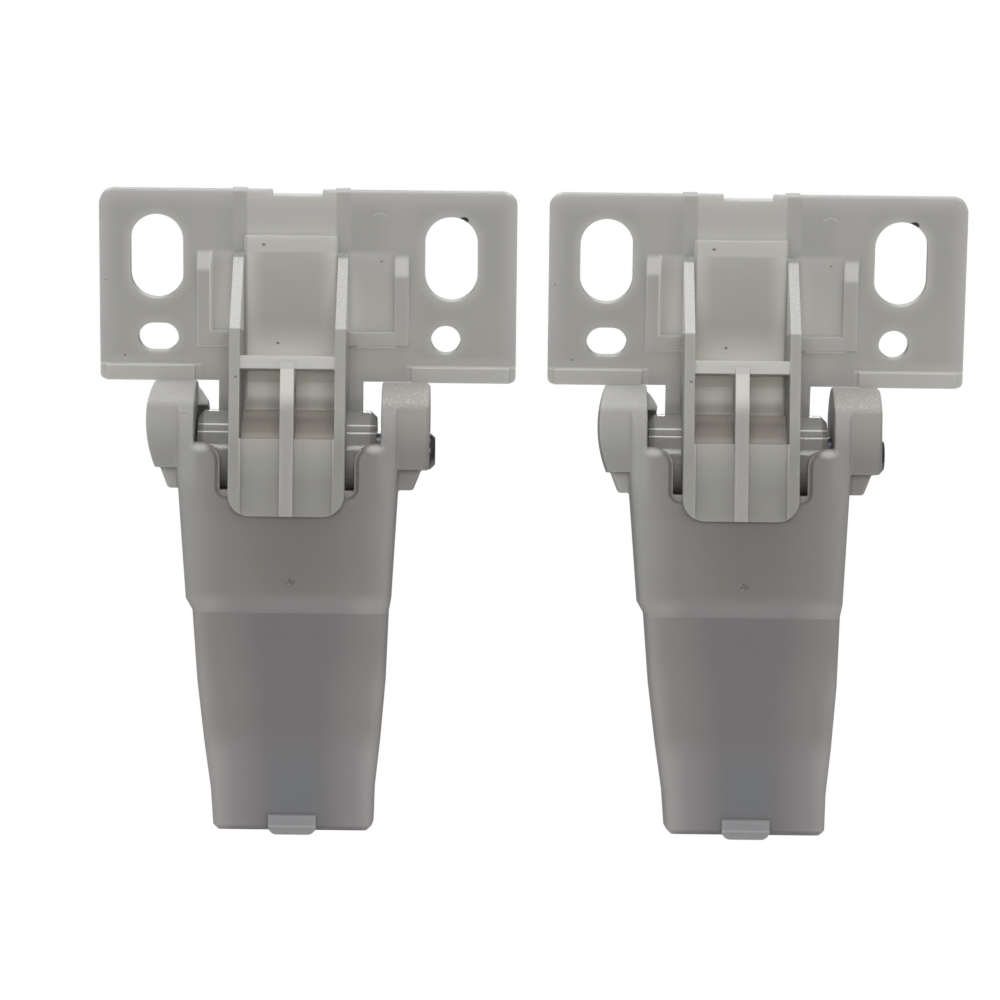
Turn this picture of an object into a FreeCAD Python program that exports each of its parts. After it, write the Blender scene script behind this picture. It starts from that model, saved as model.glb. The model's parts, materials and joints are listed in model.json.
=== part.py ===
import FreeCAD, Part
import math
import os

# Two identical hinges that carry the lid of a printer's document feeder, side by side, fully open.
# Millimetres, +Z up. The origin lies midway between them on the plane of the housing shoulders.
# Each piece is drawn about its own pivot axis, which runs along X, and is moved to its place last.

# The pair
hinge_spacing = 72.7
pivot_height = 25.9

# Pivot pin
pin_diameter = 6.0
pin_end_chamfer = 0.8
pin_proud = 0.9
pin_press_gap = 0.02
pin_running_gap = 0.05
pin_end_gap = 0.3

# Housing outline: half widths, the sideways lean of the lower part, and the two faces in depth
cheek_half_width = 17.7
shoulder_half_width = 16.3
shoulder_height = 1.9
shoulder_step = 0.7
shoulder_shift = 0.3
lower_top_shift = 0.65
lower_bend_z = -37.2
lower_bend_half_width = 14.95
lower_waist_z = -47.0
lower_waist_half_width = 13.95
lower_toe_z = -54.5
lower_toe_half_width = 13.0
foot_z = -61.1
foot_half_width = 12.7
foot_shift = 1.45
foot_chamfer = 0.8
housing_front = -9.6
housing_back = 8.9
foot_draft = 0.6
housing_corner = 1.1

# Housing walls and hollows
ear_gap = 30.0
front_wall = 2.0
back_wall = 2.0
lower_wall = 1.6
floor_thickness = 2.7
front_wall_top = 1.0
back_wall_top = -9.2
slide_room_half_width = 14.3
slide_room_bottom = -23.4
notch_half_width = 10.8
notch_bottom = -7.4
notch_shoulder = 3.2
notch_corner = 1.2
cam_slot_gap = 1.0
cam_slot_bottom = -14.8
cam_slot_corner = 1.6

# Ears and bosses
ear_radius = 11.1
boss_width = 5.0
boss_front = -8.8
boss_back = 8.1
boss_bottom = -3.1
boss_edge_chamfer = 0.5
closed_boss_dome_radius = 20.0
closed_boss_dome_height = 4.5
closed_boss_wall = 1.7
gusset_bottom = -6.4
gusset_width = 3.6
closed_gusset_width = 2.9
gusset_half_depth = 5.2
gusset_lean = 1.3
ear_rim_width = 1.8
ear_rim_radius = 10.2
ear_rim_gap = 0.6
ear_rim_edge = 0.8
front_edge_chamfer = 0.8

# Guide post and hook tab in the foot
post_diameter = 7.3
post_height = 11.1
post_chamfer = 0.8
tab_width = 7.7
tab_rise = 2.6
tab_below_foot = 0.7
tab_proud = 0.9
tab_corner = 1.4
tab_chamfer = 0.5

# Lid bracket: plate, in its own upright frame before it leans
lean = 15.0
plate_left = -31.0
plate_right = 36.5
plate_bottom = 9.95
plate_height = 31.4
plate_setback = 6.1
plate_thickness = 2.2
plate_top_corner = 2.4
plate_bottom_corner = 1.0
lip_height = 2.6
lip_proud = 0.45
lip_inner_left = -14.6
lip_inner_right = 18.6
top_recess_left = -3.0
top_recess_right = 5.1
top_recess_depth = 0.7

# Holes in the plate
slot_width = 8.5
slot_length = 14.0
slot_below_top = 10.95
left_slot_x = -21.7
right_slot_x = 25.9
locator_diameter = 4.8
locator_length = 6.5
locator_below_top = 24.35
left_locator_x = -21.5
right_locator_x = 25.1

# Two low ribs on the back of the plate, and the frame and cross rib on its front
back_rib_height = 1.2
back_rib_width = 2.4
back_rib_x = 8.3
back_rib_bottom = 31.4
front_rib_height = 0.6
cross_rib_width = 2.8
frame_width = 2.4
frame_left = -15.3
frame_right = 19.1
frame_bottom = 16.0
frame_top = 31.4
frame_ramp = 1.6

# Neck, barrel and cam
neck_half_width = 11.7
neck_sink = 0.2
barrel_radius = 6.4
barrel_end_chamfer = 1.0
barrel_left_gap = 0.3
barrel_right_gap = 0.8
cam_lift_per_radian = 3.8
cam_base = 7.0
cam_half_width = 7.0
swing_range = 105.0
cam_overrun = 5.0
cam_nose = 1.2
cam_flat_front = -3.0

# Arm walls and tongue
arm_half_width = 9.3
arm_wall = 1.7
arm_front = -12.5
arm_shoulder_z = 19.2
arm_top = 31.4
arm_underside = -6.7
stop_gap = 0.3
tongue_bottom = -10.9
tongue_web = 1.5
tongue_corner = 3.5
tongue_rim = 2.0
window_bottom = 1.6
shelf_thickness = 2.0
bar_bottom = 12.75
bar_thickness = 2.1
bar_setback = 0.3
centre_rib_width = 2.2
centre_rib_bulge = 0.5

# Slider and spring
slider_side_gap = 0.25
slider_cam_gap = 0.15
slider_height = 8.0
slider_wall = 1.6
slider_top_wall = 2.4
slider_edge = 0.8
spring_pocket_depth = 4.5
spring_pocket_gap = 0.3
spigot_gap = 0.5
wire_diameter = 1.8
spring_outer_diameter = 12.0
spring_turns = 8.0
wire_sides = 8
runs_per_turn = 12

# Values that follow from the ones above
ear_inner = ear_gap / 2
boss_outer = cheek_half_width + boss_width
pin_radius = pin_diameter / 2
press_radius = pin_radius + pin_press_gap
running_radius = pin_radius + pin_running_gap
blind_bore_end = -boss_outer + closed_boss_wall
pin_left = blind_bore_end + pin_end_gap
pin_right = boss_outer + pin_proud
floor_top = foot_z + floor_thickness
hollow_front = housing_front + front_wall
hollow_back = housing_back - back_wall
slide_centre_y = (hollow_front + hollow_back) / 2
plate_top = plate_bottom + plate_height
plate_back = plate_setback + plate_thickness
slider_top = -cam_base - slider_cam_gap
slider_bottom = slider_top - slider_height
spring_top = slider_bottom + spring_pocket_depth
spring_radius = (spring_outer_diameter - wire_diameter) / 2
tongue_back = housing_front - stop_gap
reach = 4 * cheek_half_width


def vec(x, y, z):
    return FreeCAD.Vector(x, y, z)


def block(x0, x1, y0, y1, z0, z1):
    """A box between two corners."""
    return Part.makeBox(x1 - x0, y1 - y0, z1 - z0, vec(x0, y0, z0))


def rod(radius, x0, x1):
    """A round bar along the pivot axis."""
    return Part.makeCylinder(radius, x1 - x0, vec(x0, 0, 0), vec(1, 0, 0))


def upright_rod(radius, y, z0, z1):
    """A round bar that stands on the centre line of a hinge."""
    return Part.makeCylinder(radius, z1 - z0, vec(0, y, z0), vec(0, 0, 1))


def side_prism(points, x0, x1):
    """A side outline of (y, z) points, carried from x0 to x1."""
    corners = [vec(x0, y, z) for y, z in points]
    face = Part.Face(Part.makePolygon(corners + corners[:1]))
    return face.extrude(vec(x1 - x0, 0, 0))


def fused(shapes):
    """All the shapes as one solid, without the seams between them."""
    return shapes[0].multiFuse(shapes[1:]).removeSplitter()


def rounded_outline(z, left, right, front, back, corner):
    """The edges of a level rectangle with round corners."""
    diagonal = corner * (1 - math.sqrt(0.5))

    def line(x0, y0, x1, y1):
        return Part.LineSegment(vec(x0, y0, z), vec(x1, y1, z)).toShape()

    def arc(x0, y0, xm, ym, x1, y1):
        return Part.Arc(vec(x0, y0, z), vec(xm, ym, z), vec(x1, y1, z)).toShape()

    return [
        line(left + corner, front, right - corner, front),
        arc(right - corner, front, right - diagonal, front + diagonal, right, front + corner),
        line(right, front + corner, right, back - corner),
        arc(right, back - corner, right - diagonal, back - diagonal, right - corner, back),
        line(right - corner, back, left + corner, back),
        arc(left + corner, back, left + diagonal, back - diagonal, left, back - corner),
        line(left, back - corner, left, front + corner),
        arc(left, front + corner, left + diagonal, front + diagonal, left + corner, front),
    ]


def side_face(low, high):
    """The face between two like edges: flat between lines, and one slanted arc between arcs."""
    start, end = [vertex.Point for vertex in low.Vertexes]
    high_start, high_end = [vertex.Point for vertex in high.Vertexes]
    if isinstance(low.Curve, Part.Circle):
        return low.extrude(high_start - start)
    return Part.Face(Part.makePolygon([start, end, high_end, high_start, start]))


def tapered_box(stations, corner):
    """A box through level outlines, each given as z, left, right, front and back."""
    rings = [rounded_outline(*station, corner) for station in stations]
    faces = [Part.Face(Part.Wire(rings[0])), Part.Face(Part.Wire(rings[-1]))]
    for low_ring, high_ring in zip(rings, rings[1:]):
        faces += [side_face(low, high) for low, high in zip(low_ring, high_ring)]
    shell = Part.makeShell(faces)
    shell.sewShape()
    solid = Part.makeSolid(shell)
    return solid if solid.Volume > 0 else solid.reversed()


def rounded_window(half_width, z0, z1, y0, y1, radius):
    """A cutter through a wall in depth, with its four long edges round."""
    cutter = block(-half_width, half_width, y0, y1, z0, z1)
    long_edges = [edge for edge in cutter.Edges if abs(edge.Length - (y1 - y0)) < 1e-6]
    return cutter.makeFillet(radius, long_edges)


def level_station(z, half_width, shift, inset):
    """A section of the upper housing, drawn in by an inset in depth."""
    return (z, shift - half_width, shift + half_width, housing_front + inset, housing_back - inset)


def lower_stations(inset, bottom):
    """Sections of the lower housing, which lean to the right, drawn in by a wall."""
    rows = [
        (-pivot_height, shoulder_half_width - shoulder_step),
        (lower_bend_z, lower_bend_half_width),
        (lower_waist_z, lower_waist_half_width),
        (lower_toe_z, lower_toe_half_width),
        (foot_z, foot_half_width),
    ]
    stations = []
    for z, half_width in rows:
        share = (z + pivot_height) / (foot_z + pivot_height)
        shift = lower_top_shift + (foot_shift - lower_top_shift) * share
        depth_inset = shoulder_step + foot_draft * share + inset
        stations.append(level_station(max(z, bottom), half_width - inset, shift, depth_inset))
    return stations


def housing_outside():
    """The tapered box from the foot to the ears, solid."""
    upper = tapered_box([
        level_station(ear_radius, cheek_half_width, 0, 0),
        level_station(boss_bottom, cheek_half_width, 0, 0),
        level_station(shoulder_height - pivot_height, shoulder_half_width, shoulder_shift, 0),
        level_station(-pivot_height, shoulder_half_width - shoulder_step, lower_top_shift, shoulder_step),
    ], housing_corner)
    ear_round = rod(ear_radius, -reach, reach)
    below_ears = block(-reach, reach, -reach, reach, -pivot_height, 0)
    stations = lower_stations(0, foot_z)
    z, left, right, front, back = stations.pop()
    stations.append((z + foot_chamfer, left, right, front, back))
    stations.append((z, left + foot_chamfer, right - foot_chamfer, front + foot_chamfer,
                     back - foot_chamfer))
    lower = tapered_box(stations, housing_corner)
    return fused([upper.common(ear_round.fuse(below_ears)), lower])


def boss(inner, outer):
    """One round boss on the outside of an ear, flat at the front, the back and below."""
    low = min(inner, outer)
    high = max(inner, outer)
    return rod(ear_radius, low, high).common(block(low, high, boss_front, boss_back, boss_bottom, ear_radius))


def open_boss():
    """The boss that the pin comes out of, with its edge eased."""
    disc = boss(cheek_half_width - housing_corner, boss_outer)
    rim = [edge for edge in disc.Edges if edge.BoundBox.XMin > boss_outer - 1e-6]
    return disc.makeChamfer(boss_edge_chamfer, rim)


def closed_boss():
    """The boss over the blind end of the pin, with a bowed outer face."""
    disc = boss(-cheek_half_width + housing_corner, -boss_outer)
    centre = vec(-boss_outer + closed_boss_dome_radius, -reach, closed_boss_dome_height)
    return disc.common(Part.makeCylinder(closed_boss_dome_radius, 2 * reach, centre, vec(0, 1, 0)))


def gusset(inner, width):
    """The block that carries a boss from below, beside the cheek."""
    side = 1 if inner > 0 else -1
    outline = [
        vec(inner - side * housing_corner, 0, boss_bottom),
        vec(inner + side * width, 0, boss_bottom),
        vec(inner + side * (width - gusset_lean), 0, gusset_bottom),
        vec(inner - side * housing_corner, 0, gusset_bottom),
    ]
    face = Part.Face(Part.makePolygon(outline + outline[:1]))
    face.translate(vec(0, -gusset_half_depth, 0))
    return face.extrude(vec(0, 2 * gusset_half_depth, 0))


def ear_rim():
    """The sloped rim that stands in from the left ear over the back of the barrel."""
    low_radius = barrel_radius + ear_rim_gap
    inner = -ear_inner + ear_rim_width
    root = -ear_inner - housing_corner
    outline = [
        vec(inner, 0, low_radius),
        vec(inner, 0, low_radius + ear_rim_edge),
        vec(-ear_inner + ear_rim_edge, 0, ear_rim_radius - ear_rim_edge),
        vec(-ear_inner, 0, ear_rim_radius),
        vec(root, 0, ear_rim_radius),
        vec(root, 0, low_radius),
    ]
    face = Part.Face(Part.makePolygon(outline + outline[:1]))
    rim = face.revolve(vec(0, 0, 0), vec(-1, 0, 0), 90)
    return rim.common(block(-reach, reach, 0, housing_back - housing_corner, 0, reach))


def hook_tab():
    """The small catch at the middle of the foot, proud of the front face."""
    front = housing_front + shoulder_step + foot_draft
    bottom = foot_z - tab_below_foot
    tab_top = foot_z + tab_rise
    tab = block(foot_shift - tab_width / 2, foot_shift + tab_width / 2, front - tab_proud,
                front + lower_wall, bottom, tab_top)
    low_corners = [edge for edge in tab.Edges if abs(edge.Length - tab_proud - lower_wall) < 1e-6 and
                   edge.BoundBox.ZMax < bottom + 1e-6]
    tab = tab.makeFillet(tab_corner, low_corners)
    top_front = [edge for edge in tab.Edges if edge.BoundBox.ZMin > tab_top - 1e-6 and
                 edge.BoundBox.YMax < front - tab_proud + 1e-6]
    return tab.makeChamfer(tab_chamfer, top_front)


def guide_post():
    """The post on the spring floor that keeps the coil upright."""
    post = upright_rod(post_diameter / 2, slide_centre_y, floor_top, floor_top + post_height)
    rim = [edge for edge in post.Edges if edge.BoundBox.ZMin > floor_top + post_height - 1e-6]
    return post.makeChamfer(post_chamfer, rim)


def front_opening():
    """The opening over the front wall, with its two round shoulders and the notch for the arm."""
    over_wall = block(-ear_inner, ear_inner, -reach, hollow_front, front_wall_top, reach)
    notch = rounded_window(notch_half_width, notch_bottom, reach, -reach, hollow_front, notch_corner)
    cutters = [over_wall, notch]
    for side in (-1, 1):
        corner_x = side * notch_half_width
        centre_x = corner_x + side * notch_shoulder
        square = block(min(corner_x, centre_x), max(corner_x, centre_x), -reach, hollow_front,
                       front_wall_top - notch_shoulder, front_wall_top)
        round_part = Part.makeCylinder(notch_shoulder, reach + hollow_front,
                                       vec(centre_x, -reach, front_wall_top - notch_shoulder), vec(0, 1, 0))
        cutters.append(square.cut(round_part))
    return cutters


def housing_hollows():
    """Everything that is cut from the housing."""
    slide_room = tapered_box([
        (reach, -slide_room_half_width, slide_room_half_width, hollow_front, hollow_back),
        (slide_room_bottom, -slide_room_half_width, slide_room_half_width, hollow_front, hollow_back),
    ], housing_corner)
    barrel_room = block(-ear_inner, ear_inner, hollow_front, reach, back_wall_top, reach)
    cam_slot = rounded_window(cam_half_width + cam_slot_gap, cam_slot_bottom, 0, 0, reach,
                              cam_slot_corner)
    stations = lower_stations(lower_wall, floor_top)
    lower = tapered_box([(slide_room_bottom,) + stations[0][1:]] + stations, housing_corner)
    bores = [rod(press_radius, blind_bore_end, 0), rod(press_radius, 0, reach)]
    return [slide_room, barrel_room, cam_slot, lower] + front_opening() + bores


def ease_front_edges(shape):
    """Chamfers the front edges of the opening that the arm stands in."""
    edges = [edge for edge in shape.Edges if edge.BoundBox.YMax < housing_front + 1e-6 and
             edge.BoundBox.ZMin > notch_bottom - 1e-6 and edge.BoundBox.ZMax < front_wall_top + 1e-6 and
             abs(edge.BoundBox.Center.x) < ear_inner]
    return shape.makeChamfer(front_edge_chamfer, edges)


def make_housing():
    body = fused([
        housing_outside(),
        open_boss(),
        closed_boss(),
        gusset(cheek_half_width, gusset_width),
        gusset(-cheek_half_width, closed_gusset_width),
        hook_tab(),
    ])
    hollow = body.cut(housing_hollows())
    return ease_front_edges(fused([hollow, guide_post(), ear_rim()]))


def leaned(shape):
    """Turns a shape from the plate's upright frame to its open position."""
    turned = shape.copy()
    turned.rotate(vec(0, 0, 0), vec(1, 0, 0), lean)
    return turned


def plate_point(distance, height):
    """The (y, z) of a point given behind and above the axis in the plate's upright frame."""
    angle = math.radians(lean)
    return (distance * math.cos(angle) - height * math.sin(angle),
            distance * math.sin(angle) + height * math.cos(angle))


def round_edges(shape, radius, test):
    """Rounds the edges that run through the plate's thickness and pass the test."""
    edges = [edge for edge in shape.Edges if abs(edge.BoundBox.YLength - plate_thickness) < 1e-6 and
             edge.BoundBox.XLength < 1e-6 and edge.BoundBox.ZLength < 1e-6 and test(edge.BoundBox)]
    return shape.makeFillet(radius, edges)


def obround(x, z, width, length, turned):
    """A cutter through the plate with two round ends, upright or lying along X."""
    straight = (length - width) / 2
    half = width / 2
    ends = []
    for side in (-1, 1):
        dx = side * straight if turned else 0
        dz = 0 if turned else side * straight
        ends.append(Part.makeCylinder(half, reach, vec(x + dx, 0, z + dz), vec(0, 1, 0)))
    across = straight if turned else half
    along = half if turned else straight
    middle = block(x - across, x + across, 0, reach, z - along, z + along)
    return fused(ends + [middle])


def plate_holes():
    """The two screw slots, the locating slot and the round locating hole."""
    slot_z = plate_top - slot_below_top
    locator_z = plate_top - locator_below_top
    return [
        obround(left_slot_x, slot_z, slot_width, slot_length, False),
        obround(right_slot_x, slot_z, slot_width, slot_length, False),
        obround(left_locator_x, locator_z, locator_diameter, locator_length, True),
        Part.makeCylinder(locator_diameter / 2, reach, vec(right_locator_x, 0, locator_z), vec(0, 1, 0)),
    ]


def back_ribs():
    """The two low ribs behind the top of the plate, in line with the arm walls."""
    ribs = []
    for side in (-1, 1):
        x = side * back_rib_x
        ribs.append(block(x - back_rib_width / 2, x + back_rib_width / 2, plate_back - plate_thickness / 2,
                          plate_back + back_rib_height, back_rib_bottom, plate_top))
    return ribs


def front_ribs():
    """The cross rib between the arm walls and the frame on both sides of them."""
    face = plate_setback - front_rib_height
    inner = plate_setback + plate_thickness / 2
    between_walls = arm_half_width - arm_wall
    ribs = [block(-between_walls, between_walls, face, inner, arm_top, arm_top + cross_rib_width)]
    ribs.append(block(frame_left, frame_right, face, inner, frame_bottom, frame_bottom + frame_width))
    for x in (frame_left, frame_right - frame_width):
        ribs.append(side_prism([
            (face, frame_bottom),
            (inner, frame_bottom),
            (inner, frame_top),
            (plate_setback, frame_top),
            (face, frame_top - frame_ramp),
        ], x, x + frame_width))
    return ribs


def make_plate():
    """The leaning plate with its lips, ribs and holes."""
    sheet = block(plate_left, plate_right, plate_setback, plate_back, plate_bottom, plate_top)
    sheet = round_edges(sheet, plate_top_corner, lambda box: box.ZMin > plate_top - 1)
    sheet = round_edges(sheet, plate_bottom_corner, lambda box: box.ZMax < plate_bottom + 1)
    inner = plate_setback + plate_thickness / 2
    lips = []
    for x0, x1 in ((plate_left, lip_inner_left), (lip_inner_right, plate_right)):
        lips.append(block(x0 + plate_bottom_corner, x1 - plate_bottom_corner, plate_setback - lip_proud,
                          inner, plate_bottom, plate_bottom + lip_height))
    pad = block(-arm_half_width + arm_wall / 2, arm_half_width - arm_wall / 2,
                plate_setback - front_rib_height, inner, plate_bottom, arm_top)
    recess = block(top_recess_left, top_recess_right, 0, plate_back, plate_top - top_recess_depth, reach)
    plate = fused([sheet, pad] + lips + back_ribs() + front_ribs())
    return leaned(plate.cut(plate_holes() + [recess]))


def make_neck():
    """The bridge from the plate down to the barrel."""
    on_barrel = barrel_radius * math.sqrt(0.5) - neck_sink
    outline = [
        (plate_setback, plate_bottom + plate_thickness / 2),
        (plate_back, plate_bottom + plate_thickness / 2),
        (plate_back, 0),
        (0, 0),
        (on_barrel, on_barrel),
    ]
    return leaned(side_prism(outline, -neck_half_width, neck_half_width))


def cam_point(angle):
    """A point of the cam that is lowest once the bracket has swung by this angle."""
    drop = cam_base + cam_lift_per_radian * angle
    y = cam_lift_per_radian * math.cos(angle) + drop * math.sin(angle)
    z = cam_lift_per_radian * math.sin(angle) - drop * math.cos(angle)
    return vec(-cam_half_width, y, z)


def make_cam():
    """The lobe whose flank is the involute that sinks the flat slider evenly with the swing."""
    steps = 10
    end_angle = math.radians(swing_range + cam_overrun)
    points = [cam_point(end_angle * step / steps) for step in range(steps + 1)]
    flank = Part.BSplineCurve()
    flank.interpolate(points)
    tip = points[-1]
    inward_y, inward_z = plate_point(plate_setback, cam_lift_per_radian + cam_nose)
    nose_y, nose_z = plate_point(plate_back + cam_lift_per_radian, cam_lift_per_radian + 2 * cam_nose)
    corners = [
        tip,
        vec(-cam_half_width, nose_y, nose_z),
        vec(-cam_half_width, inward_y, inward_z),
        vec(-cam_half_width, 0, 0),
        vec(-cam_half_width, cam_flat_front - cam_nose, -barrel_radius / 2),
        vec(-cam_half_width, cam_flat_front, -cam_base),
        points[0],
    ]
    edges = [flank.toShape()]
    for start, end in zip(corners, corners[1:]):
        edges.append(Part.LineSegment(start, end).toShape())
    face = Part.Face(Part.Wire(edges))
    return face.extrude(vec(2 * cam_half_width, 0, 0))


def make_barrel():
    """The round body on the pin, with its ends eased."""
    barrel = rod(barrel_radius, -ear_inner + barrel_left_gap, ear_inner - barrel_right_gap)
    rims = [edge for edge in barrel.Edges if edge.BoundBox.XLength < 1e-6]
    return barrel.makeChamfer(barrel_end_chamfer, rims)


def arm_outline():
    """Side outline of an arm wall, from the plate over the slope to the tongue and back."""
    return [
        plate_point(plate_setback, arm_top),
        (arm_front, arm_shoulder_z),
        (arm_front, tongue_bottom),
        (tongue_back, tongue_bottom),
        (tongue_back, arm_underside),
        (-barrel_radius / 2, arm_underside + arm_wall),
        (0, 0),
        plate_point(plate_setback + plate_thickness / 2, plate_bottom),
        plate_point(plate_setback + plate_thickness / 2, arm_top),
    ]


def centre_rib():
    """The rib down the middle of the tongue, its front edge gently bowed."""
    top = bar_bottom + bar_thickness / 2
    start = vec(-centre_rib_width / 2, arm_front, top)
    middle = vec(-centre_rib_width / 2, arm_front - centre_rib_bulge, (top + tongue_bottom) / 2)
    end = vec(-centre_rib_width / 2, arm_front, tongue_bottom)
    corners = [end]
    for y, z in ((tongue_back, tongue_bottom), (tongue_back, arm_underside),
                 (-barrel_radius / 2, arm_underside + arm_wall), (-barrel_radius / 2, top)):
        corners.append(vec(-centre_rib_width / 2, y, z))
    corners.append(start)
    edges = [Part.Arc(start, middle, end).toShape()]
    for first, second in zip(corners, corners[1:]):
        edges.append(Part.LineSegment(first, second).toShape())
    return Part.Face(Part.Wire(edges)).extrude(vec(centre_rib_width, 0, 0))


def tongue_trim():
    """Cuts the two lower corners of the tongue round, seen from the front."""
    trims = []
    for side in (-1, 1):
        centre_x = side * (arm_half_width - tongue_corner)
        centre_z = tongue_bottom + tongue_corner
        outer = side * (arm_half_width + tongue_rim)
        square = block(min(centre_x, outer), max(centre_x, outer), -reach, tongue_back + stop_gap / 2,
                       tongue_bottom - tongue_rim, centre_z)
        centre = vec(centre_x, -reach, centre_z)
        round_part = Part.makeCylinder(tongue_corner, 2 * reach, centre, vec(0, 1, 0))
        trims.append(square.cut(round_part))
    return trims


def make_arm():
    """Both arm walls with the bar, the shelf, the web and the rib between them."""
    inner = arm_half_width - arm_wall
    walls = [side_prism(arm_outline(), x, x + arm_wall) for x in (-arm_half_width, inner)]
    web = block(-arm_half_width, arm_half_width, tongue_back - tongue_web, tongue_back, tongue_bottom,
                window_bottom)
    shelf = block(-inner, inner, tongue_back - tongue_web, -barrel_radius / 2,
                  window_bottom - shelf_thickness, window_bottom)
    bar_back = plate_point(plate_setback, bar_bottom)[0]
    bar = block(-inner, inner, arm_front + bar_setback, bar_back, bar_bottom, bar_bottom + bar_thickness)
    rims = []
    for side in (-1, 1):
        x0 = side * (arm_half_width - tongue_rim)
        x1 = side * (arm_half_width - arm_wall / 2)
        rims.append(block(min(x0, x1), max(x0, x1), arm_front, tongue_back, tongue_bottom, window_bottom))
    arm = fused(walls + [web, shelf, bar, centre_rib()] + rims)
    return arm.cut(tongue_trim())


def make_bracket():
    solid = fused([make_plate(), make_neck(), make_barrel(), make_cam(), make_arm()])
    return solid.cut(rod(running_radius, -reach, reach))


def make_pin():
    pin = rod(pin_radius, pin_left, pin_right)
    rims = [edge for edge in pin.Edges if edge.BoundBox.XLength < 1e-6]
    return pin.makeChamfer(pin_end_chamfer, rims)


def make_slider():
    """The pressed block: a flat top for the cam, light pockets and a seat for the coil below."""
    half_width = slide_room_half_width - slider_side_gap
    front = hollow_front + slider_side_gap
    back = hollow_back - slider_side_gap
    body = tapered_box([
        (slider_top, -half_width, half_width, front, back),
        (slider_bottom, -half_width, half_width, front, back),
    ], slider_edge)
    pocket_radius = spring_outer_diameter / 2 + spring_pocket_gap
    cutters = [upright_rod(pocket_radius, slide_centre_y, slider_bottom, spring_top)]
    for side in (-1, 1):
        inner = side * (pocket_radius + slider_wall)
        outer = side * (half_width - slider_wall)
        cutters.append(block(min(inner, outer), max(inner, outer), front + slider_wall, back - slider_wall,
                             slider_bottom, slider_top - slider_top_wall))
    spigot_radius = spring_radius - wire_diameter / 2 - spigot_gap
    spigot = upright_rod(spigot_radius, slide_centre_y, slider_bottom, spring_top + slider_top_wall / 2)
    return fused([body.cut(cutters), spigot])


def make_spring():
    """The coil from the floor of the housing to the slider, with its two ends ground flat."""
    length = spring_top - floor_top
    runs = round(spring_turns * runs_per_turn)
    turn = 2 * math.pi / runs_per_turn
    path = Part.makePolygon([vec(spring_radius * math.cos(turn * run), spring_radius * math.sin(turn * run),
                                 length * run / runs) for run in range(runs + 1)])
    forward = path.Edges[0].tangentAt(0)
    start = vec(spring_radius, 0, 0)
    outward = (vec(1, 0, 0) - forward * forward.x).normalize()
    upward = forward.cross(outward)
    corners = []
    for side in range(wire_sides):
        angle = 2 * math.pi * (side + 0.5) / wire_sides
        corners.append(start + outward * (wire_diameter / 2 * math.cos(angle))
                       + upward * (wire_diameter / 2 * math.sin(angle)))
    section = Part.makePolygon(corners + corners[:1])
    coil = path.makePipeShell([section], True, True, 1)
    coil.translate(vec(0, slide_centre_y, floor_top))
    ground = block(-reach, reach, -reach, reach, floor_top, spring_top)
    return coil.common(ground)


def write(name, shape, x):
    """Moves a copy of the shape to its hinge and writes it."""
    placed = shape.copy()
    placed.translate(vec(x, 0, pivot_height))
    solid = placed.Solids[0] if len(placed.Solids) == 1 else placed
    solid.exportStep("parts/" + name + ".step")
    print(name, "solids", len(placed.Solids), "valid", placed.isValid(), "volume", round(placed.Volume, 1))


os.makedirs("parts", exist_ok=True)
pieces = {
    "housing": make_housing(),
    "lid_bracket": make_bracket(),
    "pivot_pin": make_pin(),
    "cam_slider": make_slider(),
    "compression_spring": make_spring(),
}
for side_name, direction in (("left", -1), ("right", 1)):
    for piece_name, piece in pieces.items():
        write(side_name + "_" + piece_name, piece, direction * hinge_spacing / 2)
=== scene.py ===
import json
import math

import bmesh
import bpy
from mathutils import Matrix, Quaternion, Vector


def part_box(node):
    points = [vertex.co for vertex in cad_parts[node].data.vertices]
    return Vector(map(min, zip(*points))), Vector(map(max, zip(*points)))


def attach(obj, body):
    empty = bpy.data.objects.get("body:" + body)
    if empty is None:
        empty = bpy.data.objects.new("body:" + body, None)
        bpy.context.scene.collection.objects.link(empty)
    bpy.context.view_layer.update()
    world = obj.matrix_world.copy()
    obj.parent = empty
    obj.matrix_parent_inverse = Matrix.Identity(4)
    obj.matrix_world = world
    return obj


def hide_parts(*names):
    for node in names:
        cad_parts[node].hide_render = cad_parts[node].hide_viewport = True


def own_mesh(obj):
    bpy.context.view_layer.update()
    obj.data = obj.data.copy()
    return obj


# Two lid hinges in milky plastic with steel pins, seen square on against a white background.
# Metres, in the frame's own axes. Materials count in millimetres about each hinge's pivot.

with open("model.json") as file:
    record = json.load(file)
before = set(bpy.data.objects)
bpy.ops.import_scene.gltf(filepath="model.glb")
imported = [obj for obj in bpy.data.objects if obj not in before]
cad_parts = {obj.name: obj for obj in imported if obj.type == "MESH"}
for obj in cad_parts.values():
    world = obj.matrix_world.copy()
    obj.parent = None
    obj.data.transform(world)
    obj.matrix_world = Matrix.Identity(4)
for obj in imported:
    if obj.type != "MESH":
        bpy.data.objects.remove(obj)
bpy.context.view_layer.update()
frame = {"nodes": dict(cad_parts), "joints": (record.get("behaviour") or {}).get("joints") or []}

# The pair, as the frame gives it
joints = {joint["name"]: joint for joint in frame["joints"]}
pivots = {side: Vector(joints[side + "_lid_pivot"]["pos_m"]) for side in ("left", "right")}
lean = math.radians(15.0)

# Columns of holes in a plate, from its pivot's middle
left_holes_x = -0.0217
right_holes_x = 0.0259

# The holes themselves in millimetres, as the paint counts: across and up the plate
left_screw_slot = (left_holes_x * 1000, 30.4)
right_screw_slot = (right_holes_x * 1000, 30.4)
screw_slot_straight = 2.75
screw_slot_radius = 4.25
locating_slot = (-21.5, 17.2)
locating_slot_straight = 0.85
locating_hole = (25.1, 17.0)
locating_radius = 2.4

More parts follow.
